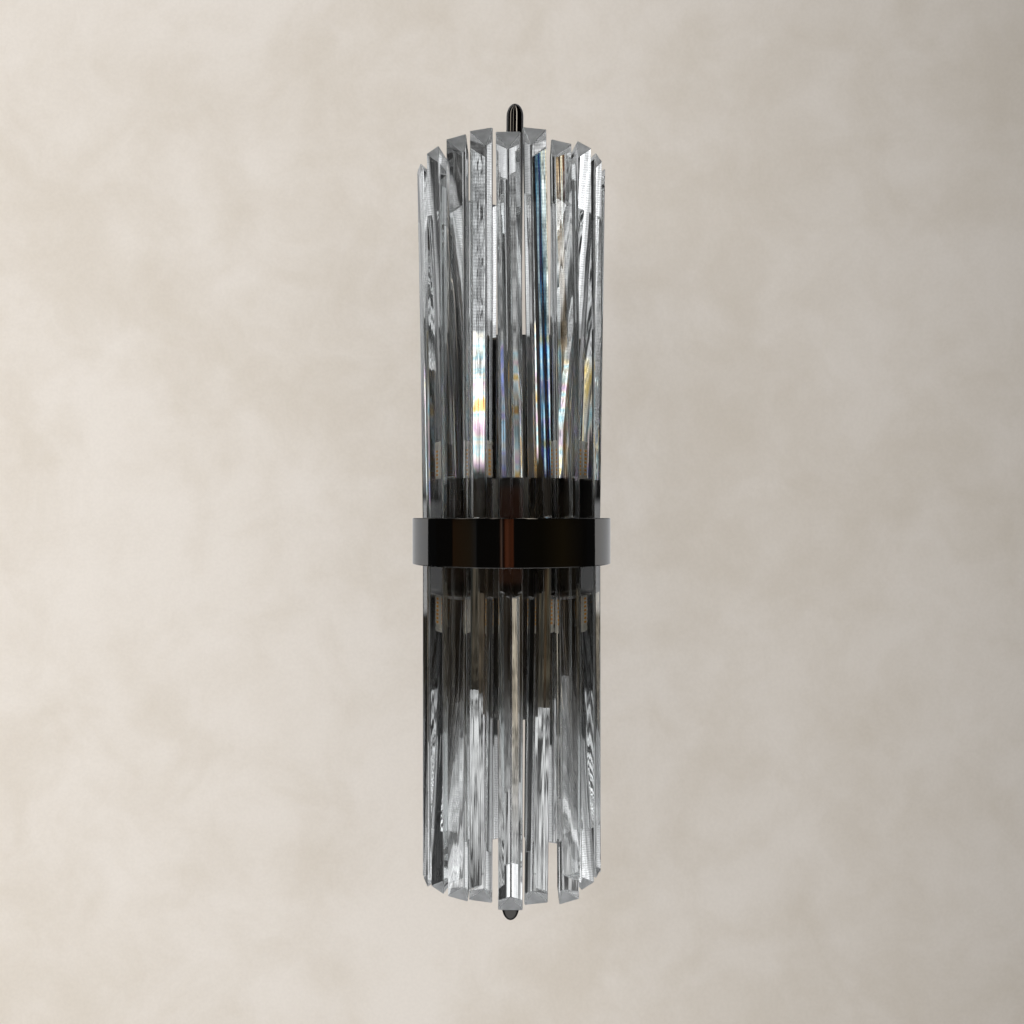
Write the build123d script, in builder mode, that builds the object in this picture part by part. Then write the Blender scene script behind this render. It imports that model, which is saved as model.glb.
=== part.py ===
import os
from math import cos
from math import radians
from math import sin
from math import sqrt

from build123d import *

# Crystal wall sconce, millimetres, +Z up. The wall is the plane Y = 0 and the lamp
# stands out towards -Y. The origin is the middle of the wall bracket on the wall.

# where the lamp stands
band_to_plate = 6.0  # free space between the band and the backplate
lamp_drop = 7.5  # band, drum and arm sit this far below the middle of the backplate

# crystal prisms
prism_positions = 20  # places round the drum, the rear one of the lower tier is left for the arm
prism_side = 14.5  # side of the three-sided section
prism_flat_radius = 53.5  # lamp axis to the outward flat
upper_length = 212.0
lower_length = 209.7
upper_mitre = 28.0  # degrees, the free end is cut back towards the ridge
lower_mitre = 19.0
prism_edge = 0.35  # polished bevel on the long edges
upper_lean = 0.75  # degrees, the upper prisms splay outward from their feet
groove_clearance = 0.1  # glass to groove

# drum that carries the prisms
seam_height = 11.0  # middle of the flange between the tiers, above the arm axis
flange_thickness = 5.0
groove_depth = 4.0
groove_wall = 2.8  # metal left behind the bottom of a groove
drum_top = 36.5  # above the arm axis
drum_bottom = 31.5  # below the arm axis, at the cover's outer face
roof_thickness = 3.0
cover_thickness = 3.0
cover_spigot = 2.0
cover_fit = 0.1
spigot_wall = 2.5
drum_edge = 0.8
boss_radius = 4.0
boss_bite = 0.5  # how far a boss runs into the wall
boss_height = 12.0
boss_angles = (90, 230, 310)

# band round the joint of the two tiers
band_clearance = 4.5  # corners of the prisms to the inside of the band
band_wall = 1.5
band_height = 27.5
band_edge = 0.5
band_fit = 0.05  # flange rim to band
set_screw_angles = (55, 125)
set_screw_length = 5.0
set_screw_drive = 0.9
set_screw_drive_depth = 1.0

# rods on the lamp axis
rod_radius = 5.2
rod_nose = 7.7  # length of the bullet end
nose_fullness = (1.2, 1.2)  # pull of the bullet curve at its two ends
upper_rod_tip = 266.0  # above the arm axis
lower_rod_tip = 231.0  # below the arm axis
stud_radius = 3.0
stud_length = 9.0
stud_fit = 0.05
rod_boss_radius = 7.0
rod_boss_height = 8.0

# arm, a short threaded tube between backplate and drum
arm_radius = 7.0
arm_bore = 3.5
arm_thread = 5.0
arm_seat_depth = 1.2  # spot face in the drum's side
arm_seat_boss = 9.5
arm_seat_reach = 3.0  # the boss inside the drum stands this far in from the bore
arm_fit = 0.1
arm_clearance = 0.3
nut_flats = 14.0
nut_thickness = 3.0
thread_past_nut = 1.0

# backplate
plate_width = 96.0
plate_height = 264.0
plate_depth = 20.0
plate_sheet = 1.5
plate_corner = 3.0
plate_edge = 2.0

# wall bracket
bracket_width = 30.0
bracket_sheet = 2.0
bracket_gap = 0.3  # tab to inside of the backplate
tab_width = 22.0
tab_depth = 14.0
slot_spacing = 160.0
slot_width = 5.0
slot_length = 12.0
cable_hole_radius = 9.0

# terminal block and earth screw on the bracket
block_height = 40.0  # above the origin
block_width = 26.0
block_tall = 16.0
block_depth = 13.0
block_poles = 3
block_pitch = 8.0
block_wire_radius = 1.6
block_screw_radius = 2.2
block_screw_depth = 5.0
earth_drop = 40.0  # below the origin
earth_radius = 2.0
earth_fit = 0.05
earth_head_radius = 4.0
earth_head = 2.6
earth_washer_radius = 5.0
earth_washer = 0.8

# lamp holders and lamps, two above the drum and two below it
lamp_spread = 18.5  # each side of the rod
lamp_forward = 6.0  # in front of the lamp axis
holder_width = 19.0
holder_depth = 30.0
holder_height = 20.0
holder_corner = 4.0
recess_radius = 8.3
recess_depth = 5.5
pin_spacing = 9.0
pin_width = 2.8
pin_thickness = 0.9
pin_length = 12.5
pin_clearance = 0.35
pin_bottom_clearance = 1.0
lamp_radius = 7.75
lamp_hole_clearance = 0.85
lamp_seat_gap = 0.3
lamp_column_radius = 7.3
lamp_column_sides = 8
lamp_reach = 21.3  # light column out of the drum's face
lamp_cap = 2.2
lamp_cap_edge = 1.0
holder_screw_offset = 12.0

# pan head screws, the same size everywhere
screw_radius = 1.5
screw_fit = 0.05
screw_length = 8.0
screw_head_radius = 2.8
screw_head = 1.8
screw_slot = 0.8
screw_slot_depth = 1.0

os.makedirs("parts", exist_ok=True)

# sizes that follow
prism_depth = prism_side * sqrt(3) / 2
ridge_radius = prism_flat_radius - prism_depth
drum_radius = ridge_radius + groove_depth
drum_bore = ridge_radius - groove_wall
band_bore = sqrt(prism_flat_radius**2 + (prism_side / 2) ** 2) + band_clearance
band_radius = band_bore + band_wall
flange_radius = band_bore - band_fit
axis_offset = plate_depth + band_to_plate + band_radius  # wall to lamp axis
boss_circle = drum_bore - boss_radius + boss_bite
screw_hole = screw_radius + screw_fit
stud_hole = stud_radius + stud_fit
position_step = 360 / prism_positions
lamp = Plane(origin=(0, -axis_offset, -lamp_drop))
flange_top = seam_height + flange_thickness / 2
flange_under = seam_height - flange_thickness / 2
roof_under = drum_top - roof_thickness
cover_upper = -drum_bottom + cover_thickness
front_angle = -90
rear_angle = 90


def facing(angle, radius, height, up=1, lean=0.0):
    """Plane on the ring: X along the ring, Y towards the lamp axis, Z up or down."""
    out = Vector(cos(radians(angle)), sin(radians(angle)), 0)
    along = Vector(-sin(radians(angle)), cos(radians(angle)), 0) * up
    rise = Vector(0, 0, up * cos(radians(lean))) + out * sin(radians(lean))
    foot = Vector(0, -axis_offset, height - lamp_drop) + out * radius
    return Plane(origin=foot, x_dir=along, z_dir=rise)


def outward(angle, radius, height):
    """Plane square to a radius of the lamp, its Z pointing out from the axis."""
    out = Vector(cos(radians(angle)), sin(radians(angle)), 0)
    along = Vector(-sin(radians(angle)), cos(radians(angle)), 0)
    foot = Vector(0, -axis_offset, height - lamp_drop) + out * radius
    return Plane(origin=foot, x_dir=along, z_dir=out)


def prism_corners(grow=0.0):
    """Corners of the three-sided section: flat along X, ridge towards +Y."""
    half = prism_side / 2 + grow * sqrt(3)
    return [(-half, -grow), (half, -grow), (0, prism_depth + 2 * grow)]


upper_places = []
lower_places = []
for number in range(prism_positions):
    place_angle = front_angle + number * position_step
    rear_gap = abs(((place_angle - rear_angle + 180) % 360) - 180)
    upper_places.append(facing(place_angle, prism_flat_radius, flange_top, 1, upper_lean))
    if rear_gap > position_step / 2:
        lower_places.append(facing(place_angle, prism_flat_radius, flange_under, -1))

# crystal prisms, one part for each place
for tier, places, length, mitre in (
    ("upper", upper_places, upper_length, upper_mitre),
    ("lower", lower_places, lower_length, lower_mitre),
):
    for number, place in enumerate(places):
        with BuildPart() as prism:
            with BuildSketch(place):
                with BuildLine():
                    Polyline(*prism_corners(), close=True)
                make_face()
                chamfer(vertices(), length=prism_edge)
            extrude(amount=length)
            free_end = place.offset(length)
            slope = free_end.z_dir * cos(radians(mitre)) + free_end.y_dir * sin(radians(mitre))
            split(bisect_by=Plane(origin=free_end.origin, x_dir=free_end.x_dir, z_dir=slope), keep=Keep.BOTTOM)
        prism.part.label = f"{tier}_prism_{number + 1:02d}"
        export_step(prism.part, f"parts/{tier}_prism_{number + 1:02d}.step")

# where the lamps stand, and the screws that hold what carries them
lamp_spots = [(-lamp_spread, -lamp_forward), (lamp_spread, -lamp_forward)]
holder_screw_spots = []
for spot in lamp_spots:
    holder_screw_spots.append((spot[0], spot[1] - holder_screw_offset))
    holder_screw_spots.append((spot[0], spot[1] + holder_screw_offset))
boss_spots = []
for angle in boss_angles:
    boss_spots.append((boss_circle * cos(radians(angle)), boss_circle * sin(radians(angle))))
arm_seat_radius = drum_radius - arm_seat_depth
nut_seat_radius = drum_bore - arm_seat_reach

# drum: grooved wall, roof and the flange that parts the tiers
with BuildPart() as drum:
    with BuildSketch(lamp.offset(cover_upper)):
        Circle(drum_radius)
    extrude(amount=drum_top - cover_upper)
    chamfer(edges().filter_by(GeomType.CIRCLE), length=drum_edge)
    with BuildSketch(lamp.offset(flange_under)):
        Circle(flange_radius)
    extrude(amount=flange_thickness)
    with BuildSketch(lamp.offset(cover_upper)):
        Circle(drum_bore)
    extrude(amount=roof_under - cover_upper, mode=Mode.SUBTRACT)
    with BuildSketch(lamp.offset(roof_under)):
        Circle(rod_boss_radius)
    extrude(amount=-rod_boss_height)
    with BuildSketch(lamp.offset(cover_upper)):
        with Locations(*boss_spots):
            Circle(boss_radius)
    extrude(amount=boss_height)
    with BuildSketch(lamp.offset(cover_upper)):
        Circle(drum_bore - cover_fit)
    extrude(amount=cover_spigot + cover_fit, mode=Mode.SUBTRACT)
    with BuildSketch(outward(rear_angle, nut_seat_radius, 0)):
        Circle(arm_seat_boss)
    extrude(amount=arm_seat_reach + groove_wall / 2)
    with BuildSketch(outward(rear_angle, arm_seat_radius, 0)):
        Circle(arm_radius + arm_clearance)
    extrude(amount=groove_depth, mode=Mode.SUBTRACT)
    with BuildSketch(outward(rear_angle, nut_seat_radius - 1, 0)):
        Circle(arm_thread + arm_fit)
    extrude(amount=drum_radius - nut_seat_radius + 2, mode=Mode.SUBTRACT)
    for place in upper_places:
        with BuildSketch(place):
            with BuildLine():
                Polyline(*prism_corners(groove_clearance), close=True)
            make_face()
        extrude(amount=drum_top, mode=Mode.SUBTRACT)
    for place in lower_places:
        with BuildSketch(place):
            with BuildLine():
                Polyline(*prism_corners(groove_clearance), close=True)
            make_face()
        extrude(amount=drum_bottom + flange_under, mode=Mode.SUBTRACT)
    with BuildSketch(lamp.offset(drum_top)):
        with Locations(*lamp_spots):
            Circle(lamp_radius + lamp_hole_clearance)
        with Locations(*holder_screw_spots):
            Circle(screw_hole)
    extrude(amount=-roof_thickness, mode=Mode.SUBTRACT)
    with BuildSketch(lamp.offset(drum_top)):
        Circle(stud_hole)
    extrude(amount=-stud_length - stud_fit, mode=Mode.SUBTRACT)
    with BuildSketch(lamp.offset(cover_upper)):
        with Locations(*boss_spots):
            Circle(screw_hole)
    extrude(amount=screw_length, mode=Mode.SUBTRACT)
    for angle in set_screw_angles:
        with BuildSketch(outward(angle, flange_radius, seam_height)):
            Circle(screw_hole)
        extrude(amount=-set_screw_length, mode=Mode.SUBTRACT)
drum.part.label = "drum"
export_step(drum.part, "parts/drum.step")

# cover under the drum, with the lower rod's boss
with BuildPart() as drum_cover:
    with BuildSketch(lamp.offset(-drum_bottom)):
        Circle(ridge_radius - groove_clearance - cover_fit)
    extrude(amount=cover_thickness)
    chamfer(edges().filter_by(GeomType.CIRCLE).sort_by(Axis.Z)[0], length=drum_edge)
    with BuildSketch(lamp.offset(cover_upper)):
        Circle(drum_bore - 2 * cover_fit)
        Circle(drum_bore - 2 * cover_fit - spigot_wall, mode=Mode.SUBTRACT)
        with Locations(*boss_spots):
            Circle(boss_radius + cover_fit, mode=Mode.SUBTRACT)
    extrude(amount=cover_spigot)
    with BuildSketch(lamp.offset(cover_upper)):
        Circle(rod_boss_radius)
    extrude(amount=rod_boss_height)
    with BuildSketch(lamp.offset(-drum_bottom)):
        with Locations(*lamp_spots):
            Circle(lamp_radius + lamp_hole_clearance)
        with Locations(*holder_screw_spots):
            Circle(screw_hole)
        with Locations(*boss_spots):
            Circle(screw_hole)
    extrude(amount=cover_thickness, mode=Mode.SUBTRACT)
    with BuildSketch(lamp.offset(-drum_bottom)):
        Circle(stud_hole)
    extrude(amount=stud_length + stud_fit, mode=Mode.SUBTRACT)
drum_cover.part.label = "drum_cover"
export_step(drum_cover.part, "parts/drum_cover.step")

# polished band
with BuildPart() as band:
    with BuildSketch(lamp.offset(-band_height / 2)):
        Circle(band_radius)
        Circle(band_bore, mode=Mode.SUBTRACT)
    extrude(amount=band_height)
    chamfer(edges().filter_by(GeomType.CIRCLE), length=band_edge)
    with BuildSketch(outward(rear_angle, 0, 0)):
        Circle(arm_radius + arm_clearance)
    extrude(amount=band_radius + 1, mode=Mode.SUBTRACT)
    for angle in set_screw_angles:
        with BuildSketch(outward(angle, 0, seam_height)):
            Circle(screw_hole)
        extrude(amount=band_radius + 1, mode=Mode.SUBTRACT)
band.part.label = "band"
export_step(band.part, "parts/band.step")

# headless screws that hold the band on the flange
with BuildPart() as band_screws:
    for angle in set_screw_angles:
        with BuildSketch(outward(angle, band_radius - set_screw_length, seam_height)):
            Circle(screw_radius)
        extrude(amount=set_screw_length - band_wall / 3)
        with BuildSketch(outward(angle, band_radius - band_wall / 3, seam_height)):
            RegularPolygon(radius=set_screw_drive, side_count=6)
        extrude(amount=-set_screw_drive_depth, mode=Mode.SUBTRACT)
band_screws.part.label = "band_screws"
export_step(band_screws.part, "parts/band_screws.step")

# rods with bullet ends, each screwed into the drum by its stud
for rod_name, face_height, tip_height, side in (
    ("upper_rod", drum_top, upper_rod_tip, -1),
    ("lower_rod", drum_bottom, lower_rod_tip, 1),
):
    nose_height = tip_height - rod_nose
    with BuildPart() as rod:
        with BuildSketch(Plane(origin=lamp.origin, x_dir=(1, 0, 0), z_dir=(0, side, 0))):
            with BuildLine():
                Polyline(
                    (0, face_height - stud_length),
                    (stud_radius, face_height - stud_length),
                    (stud_radius, face_height),
                    (rod_radius, face_height),
                    (rod_radius, nose_height),
                )
                Spline((rod_radius, nose_height), (0, tip_height), tangents=[(0, 1), (-1, 0)], tangent_scalars=nose_fullness)
                Line((0, tip_height), (0, face_height - stud_length))
            make_face()
        revolve(axis=Axis(lamp.origin, (0, 0, 1)))
    rod.part.label = rod_name
    export_step(rod.part, f"parts/{rod_name}.step")

# arm tube, threaded at both ends
plate_front = -plate_depth
arm_drum_end = -axis_offset + arm_seat_radius
arm_inner_end = -axis_offset + nut_seat_radius - nut_thickness - thread_past_nut
arm_wall_end = plate_front + plate_sheet + nut_thickness + thread_past_nut
arm_plane = Plane(origin=(0, 0, -lamp_drop), x_dir=(1, 0, 0), z_dir=(0, -1, 0))
with BuildPart() as arm_tube:
    with BuildSketch(arm_plane.offset(-plate_front)):
        Circle(arm_radius)
    extrude(amount=plate_front - arm_drum_end)
    with BuildSketch(arm_plane.offset(-arm_wall_end)):
        Circle(arm_thread)
    extrude(amount=arm_wall_end - arm_inner_end)
    with BuildSketch(arm_plane.offset(-arm_wall_end)):
        Circle(arm_bore)
    extrude(amount=arm_wall_end - arm_inner_end, mode=Mode.SUBTRACT)
arm_tube.part.label = "arm_tube"
export_step(arm_tube.part, "parts/arm_tube.step")

# nuts on the arm, one inside the backplate and one inside the drum
with BuildPart() as arm_nuts:
    for nut_face, way in ((plate_front + plate_sheet, -1), (-axis_offset + nut_seat_radius, 1)):
        with BuildSketch(arm_plane.offset(-nut_face)):
            RegularPolygon(radius=nut_flats / 2, side_count=6, major_radius=False)
            Circle(arm_thread + arm_fit, mode=Mode.SUBTRACT)
        extrude(amount=way * nut_thickness)
arm_nuts.part.label = "arm_nuts"
export_step(arm_nuts.part, "parts/arm_nuts.step")

# backplate, a tray open towards the wall
with BuildPart() as backplate:
    with BuildSketch(Plane.XZ):
        RectangleRounded(plate_width, plate_height, plate_corner)
    extrude(amount=plate_depth)
    fillet(faces().sort_by(Axis.Y)[0].edges(), radius=plate_edge)
    offset(amount=-plate_sheet, openings=faces().sort_by(Axis.Y)[-1])
    with BuildSketch(arm_plane):
        Circle(arm_thread + arm_fit)
    extrude(amount=plate_depth, mode=Mode.SUBTRACT)
    with BuildSketch(Plane.XY.offset(-plate_height / 2)):
        with Locations((0, -bracket_sheet - tab_depth / 2)):
            Circle(screw_hole)
    extrude(amount=plate_height, mode=Mode.SUBTRACT)
backplate.part.label = "backplate"
export_step(backplate.part, "parts/backplate.step")

# wall bracket with slots for two wall screws and a tab at each end
bracket_height = plate_height - 2 * plate_sheet - 2 * bracket_gap
with BuildPart() as wall_bracket:
    with BuildSketch(Plane.XZ):
        Rectangle(bracket_width, bracket_height)
    extrude(amount=bracket_sheet)
    with BuildSketch(Plane.XZ.offset(bracket_sheet)):
        with Locations((0, bracket_height / 2 - bracket_sheet / 2), (0, -bracket_height / 2 + bracket_sheet / 2)):
            Rectangle(tab_width, bracket_sheet)
    extrude(amount=tab_depth)
    with BuildSketch(Plane.XZ):
        with Locations((0, slot_spacing / 2), (0, -slot_spacing / 2)):
            SlotOverall(slot_length, slot_width, rotation=90)
        Circle(cable_hole_radius)
        with Locations((0, -earth_drop)):
            Circle(earth_radius + earth_fit)
    extrude(amount=bracket_sheet, mode=Mode.SUBTRACT)
    with BuildSketch(Plane.XY.offset(-bracket_height / 2)):
        with Locations((0, -bracket_sheet - tab_depth / 2)):
            Circle(screw_hole)
    extrude(amount=bracket_height, mode=Mode.SUBTRACT)
wall_bracket.part.label = "wall_bracket"
export_step(wall_bracket.part, "parts/wall_bracket.step")

# terminal block, with a wire way and a screw well for each pole
block_middle = bracket_sheet + block_depth / 2
with BuildPart() as terminal_block:
    with BuildSketch(Plane.XZ.offset(bracket_sheet)):
        with Locations((0, block_height)):
            Rectangle(block_width, block_tall)
    extrude(amount=block_depth)
    fillet(edges().filter_by(Axis.Y), radius=1)
    with BuildSketch(Plane.XY.offset(block_height - block_tall / 2)):
        with Locations((0, -block_middle)):
            with GridLocations(block_pitch, 1, block_poles, 1):
                Circle(block_wire_radius)
    extrude(amount=block_tall, mode=Mode.SUBTRACT)
    with BuildSketch(Plane.XZ.offset(bracket_sheet + block_depth)):
        with Locations((0, block_height + block_tall / 4), (0, block_height - block_tall / 4)):
            with GridLocations(block_pitch, 1, block_poles, 1):
                Circle(block_screw_radius)
    extrude(amount=-block_screw_depth, mode=Mode.SUBTRACT)
terminal_block.part.label = "terminal_block"
export_step(terminal_block.part, "parts/terminal_block.step")

# earth screw and its washer in the bracket
with BuildPart() as earth_screw:
    with BuildSketch(Plane.XZ):
        with Locations((0, -earth_drop)):
            Circle(earth_radius)
    extrude(amount=bracket_sheet)
    with BuildSketch(Plane.XZ.offset(bracket_sheet)):
        with Locations((0, -earth_drop)):
            Circle(earth_washer_radius)
    extrude(amount=earth_washer)
    with BuildSketch(Plane.XZ.offset(bracket_sheet + earth_washer)):
        with Locations((0, -earth_drop)):
            Circle(earth_head_radius)
    extrude(amount=earth_head)
    with BuildSketch(Plane.XZ.offset(bracket_sheet + earth_washer + earth_head)):
        with Locations((0, -earth_drop)):
            Rectangle(2 * earth_head_radius, earth_washer)
    extrude(amount=-earth_head / 2, mode=Mode.SUBTRACT)
earth_screw.part.label = "earth_screw"
export_step(earth_screw.part, "parts/earth_screw.step")

# lamp holders and lamps: each sketch plane looks out of the drum, away from its face
lamp_number = 0
for face_height, wall, up in ((drum_top, roof_thickness, 1), (-drum_bottom, cover_thickness, -1)):
    for spot in lamp_spots:
        lamp_number = lamp_number + 1
        place = Plane(
            origin=(spot[0], spot[1] - axis_offset, face_height - lamp_drop),
            x_dir=(1, 0, 0),
            z_dir=(0, 0, up),
        )
        with BuildPart() as lamp_holder:
            with BuildSketch(place.offset(-wall)):
                RectangleRounded(holder_width, holder_depth, holder_corner)
            extrude(amount=-holder_height)
            with BuildSketch(place.offset(-wall)):
                Circle(recess_radius)
            extrude(amount=-recess_depth, mode=Mode.SUBTRACT)
            with BuildSketch(place.offset(-wall - recess_depth)):
                with GridLocations(pin_spacing, 1, 2, 1):
                    Rectangle(pin_thickness + 2 * pin_clearance, pin_width + 2 * pin_clearance)
            extrude(amount=-pin_length - pin_bottom_clearance, mode=Mode.SUBTRACT)
            with BuildSketch(place.offset(-wall)):
                with Locations((0, holder_screw_offset), (0, -holder_screw_offset)):
                    Circle(screw_hole)
            extrude(amount=-screw_length, mode=Mode.SUBTRACT)
        lamp_holder.part.label = f"lamp_holder_{lamp_number}"
        export_step(lamp_holder.part, f"parts/lamp_holder_{lamp_number}.step")

        seat = -wall - recess_depth + lamp_seat_gap
        with BuildPart() as bulb:
            with BuildSketch(place.offset(seat)):
                Circle(lamp_radius)
            extrude(amount=-seat)
            with BuildSketch(place):
                RegularPolygon(radius=lamp_column_radius, side_count=lamp_column_sides)
            extrude(amount=lamp_reach)
            with BuildSketch(place.offset(lamp_reach)):
                Circle(lamp_column_radius)
            extrude(amount=lamp_cap)
            far_faces = faces().sort_by(Axis.Z)
            chamfer(far_faces[-1 if up > 0 else 0].edges(), length=lamp_cap_edge)
            with BuildSketch(place.offset(seat)):
                with GridLocations(pin_spacing, 1, 2, 1):
                    Rectangle(pin_thickness, pin_width)
            extrude(amount=-pin_length)
        bulb.part.label = f"bulb_{lamp_number}"
        export_step(bulb.part, f"parts/bulb_{lamp_number}.step")

# pan head screws: holders, cover and backplate all use the same one
screw_places = []
for spot in holder_screw_spots:
    screw_places.append(Plane(origin=lamp.offset(drum_top).from_local_coords((spot[0], spot[1], 0)), z_dir=(0, 0, 1)))
for spot in holder_screw_spots + boss_spots:
    under = lamp.offset(-drum_bottom).from_local_coords((spot[0], spot[1], 0))
    screw_places.append(Plane(origin=under, z_dir=(0, 0, -1)))
tab_middle = -bracket_sheet - tab_depth / 2
screw_places.append(Plane(origin=(0, tab_middle, plate_height / 2), z_dir=(0, 0, 1)))
screw_places.append(Plane(origin=(0, tab_middle, -plate_height / 2), z_dir=(0, 0, -1)))
with BuildPart() as pan_screws:
    for place in screw_places:
        with BuildSketch(place):
            Circle(screw_radius)
        extrude(amount=-screw_length)
        with BuildSketch(place):
            Circle(screw_head_radius)
        extrude(amount=screw_head)
        with BuildSketch(place.offset(screw_head)):
            Rectangle(2 * screw_head_radius, screw_slot)
        extrude(amount=-screw_slot_depth, mode=Mode.SUBTRACT)
pan_screws.part.label = "pan_screws"
export_step(pan_screws.part, "parts/pan_screws.step")
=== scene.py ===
import math
import random

import bpy
from mathutils import Matrix, Vector


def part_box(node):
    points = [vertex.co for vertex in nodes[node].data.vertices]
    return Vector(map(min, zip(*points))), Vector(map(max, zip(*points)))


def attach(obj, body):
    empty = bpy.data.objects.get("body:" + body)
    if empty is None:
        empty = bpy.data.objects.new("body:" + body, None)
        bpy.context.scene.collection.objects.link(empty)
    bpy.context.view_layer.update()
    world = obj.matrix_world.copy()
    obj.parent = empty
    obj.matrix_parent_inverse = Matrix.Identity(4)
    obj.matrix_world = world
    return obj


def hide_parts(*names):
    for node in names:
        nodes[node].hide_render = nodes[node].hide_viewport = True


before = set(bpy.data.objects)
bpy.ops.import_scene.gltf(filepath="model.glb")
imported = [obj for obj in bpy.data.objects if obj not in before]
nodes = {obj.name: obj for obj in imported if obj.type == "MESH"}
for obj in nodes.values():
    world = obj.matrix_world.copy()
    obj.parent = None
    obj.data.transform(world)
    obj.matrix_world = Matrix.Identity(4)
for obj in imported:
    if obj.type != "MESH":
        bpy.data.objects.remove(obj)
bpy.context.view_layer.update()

bl_info = {
    "name": "Crystal Wall Sconce",
    "version": (1, 0, 0),
    "blender": (4, 5, 0),
    "location": "3D View > Sidebar > Sconce",
    "description": "Builds a wall light of crystal prisms round a drum, with a polished band, on its wall",
    "category": "Add Mesh",
}

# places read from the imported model, in metres
band_low, band_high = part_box("band")
plate_low, plate_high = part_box("backplate")
arm_low, arm_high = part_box("arm_tube")
front_low, front_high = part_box("upper_prism_01")
under_low, under_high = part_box("lower_prism_01")
drum_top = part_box("drum")[1].z
cover_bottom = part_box("drum_cover")[0].z
axis_y = (band_low.y + band_high.y) / 2
band_radius = (band_high.x - band_low.x) / 2
arm_radius = (arm_high.x - arm_low.x) / 2
arm_height = (arm_high.z + arm_low.z) / 2
prism_side = front_high.x - front_low.x
prism_count = len([name for name in nodes if name.startswith("upper_prism_")])
flat_radius = axis_y - under_low.y
turn_step = 2 * math.pi / prism_count

# places closer than this are the same place, and the radius of the small screws' holes, in metres
NEAR = 1e-6
SCREW_HOLE = 0.00155


# ------------------------------------------------------------------ settings
class CrystalSettings(bpy.types.PropertyGroup):
    edge: bpy.props.FloatProperty(
        name="Polished edge", description="Width of the polished bevel along each prism",
        default=0.0006, min=0.0001, max=0.001, precision=5, unit="LENGTH", subtype="DISTANCE")
    cut_edge: bpy.props.FloatProperty(
        name="Cut edge", description="Width of the small bevel round the mitred end",
        default=0.0003, min=0.0001, max=0.001, precision=5, unit="LENGTH", subtype="DISTANCE")
    upper_mitre: bpy.props.FloatProperty(
        name="Upper mitre", description="How far the upper ends are cut back",
        default=math.radians(28), min=0, max=1, unit="ROTATION", subtype="ANGLE")
    lower_mitre: bpy.props.FloatProperty(
        name="Lower mitre", description="How far the lower ends are cut back",
        default=math.radians(19), min=0, max=1, unit="ROTATION", subtype="ANGLE")
    upper_splay: bpy.props.FloatProperty(
        name="Upper splay", description="How far the upper prisms lean out from their feet",
        default=math.radians(0.75), min=0, max=0.1, unit="ROTATION", subtype="ANGLE")
    ior: bpy.props.FloatProperty(
        name="Refraction", description="Refractive index of the crystal", default=1.53, min=1.4, max=1.7)
    tint: bpy.props.FloatVectorProperty(
        name="Crystal tint", description="Colour of the light that passes through the crystal",
        default=(0.975, 0.985, 0.985), subtype="COLOR", min=0, max=1)


class MetalSettings(bpy.types.PropertyGroup):
    nickel: bpy.props.FloatVectorProperty(
        name="Black nickel", description="Colour of the polished band, rods and backplate",
        default=(0.205, 0.196, 0.186), subtype="COLOR", min=0, max=1)
    drum_black: bpy.props.FloatVectorProperty(
        name="Drum black", description="Colour of the drum and its cover",
        default=(0.085, 0.078, 0.070), subtype="COLOR", min=0, max=1)
    band_bevel: bpy.props.FloatProperty(
        name="Band edge", description="Width of the rounded edge of the band",
        default=0.0005, min=0.0001, max=0.001, precision=5, unit="LENGTH", subtype="DISTANCE")
    band_wall: bpy.props.FloatProperty(
        name="Band wall", description="Thickness of the band",
        default=0.0015, min=0.0005, max=0.004, precision=5, unit="LENGTH", subtype="DISTANCE")


class LampSettings(bpy.types.PropertyGroup):
    body: bpy.props.FloatVectorProperty(
        name="Lamp body", description="Colour of the moulded lamp body",
        default=(0.60, 0.57, 0.50), subtype="COLOR", min=0, max=1)
    phosphor: bpy.props.FloatVectorProperty(
        name="Light chip", description="Colour of the amber face of a light chip",
        default=(0.92, 0.47, 0.05), subtype="COLOR", min=0, max=1)
    rows: bpy.props.IntProperty(
        name="Chips in a column", description="Light chips on each of the eight facets",
        default=7, min=1, max=12)
    pitch: bpy.props.FloatProperty(
        name="Chip pitch", description="Distance from one chip to the next",
        default=0.00235, min=0.001, max=0.01, precision=5, unit="LENGTH", subtype="DISTANCE")


class StageSettings(bpy.types.PropertyGroup):
    plaster: bpy.props.FloatVectorProperty(
        name="Plaster", description="Colour of the wall beside the lamp",
        default=(0.69, 0.64, 0.58), subtype="COLOR", min=0, max=1)
    lamp_power: bpy.props.FloatProperty(
        name="Soft light", description="Power of the large soft light", default=38, min=0, unit="POWER")
    lens: bpy.props.FloatProperty(
        name="Lens", description="Focal length of the camera", default=31.43, min=10, max=200, unit="CAMERA")
    distance: bpy.props.FloatProperty(
        name="Camera distance", description="From the wall to the camera",
        default=0.631, min=0.3, max=5, unit="LENGTH", subtype="DISTANCE")


# ------------------------------------------------------------ modelling tools
def clear_selection():
    """Leaves edit mode with nothing selected."""
    if bpy.context.mode != "OBJECT":
        bpy.ops.object.mode_set(mode="OBJECT")
    bpy.ops.object.select_all(action="DESELECT")


def only(piece):
    """Makes this piece the one that the next operator acts on."""
    clear_selection()
    piece.select_set(True)
    bpy.context.view_layer.objects.active = piece


def settle(name):
    """Names the primitive just added and puts its place into its mesh."""
    piece = bpy.context.object
    piece.name = name
    piece.data.name = name
    bpy.ops.object.transform_apply(location=True, rotation=True, scale=True)
    return piece


def cylinder(name, radius, bottom, top, at=(0.0, 0.0), sides=64, fill="NGON"):
    """An upright cylinder between two heights."""
    clear_selection()
    bpy.ops.mesh.primitive_cylinder_add(
        vertices=sides, radius=radius, depth=top - bottom, end_fill_type=fill,
        location=(at[0], at[1], (bottom + top) / 2))
    return settle(name)


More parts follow.
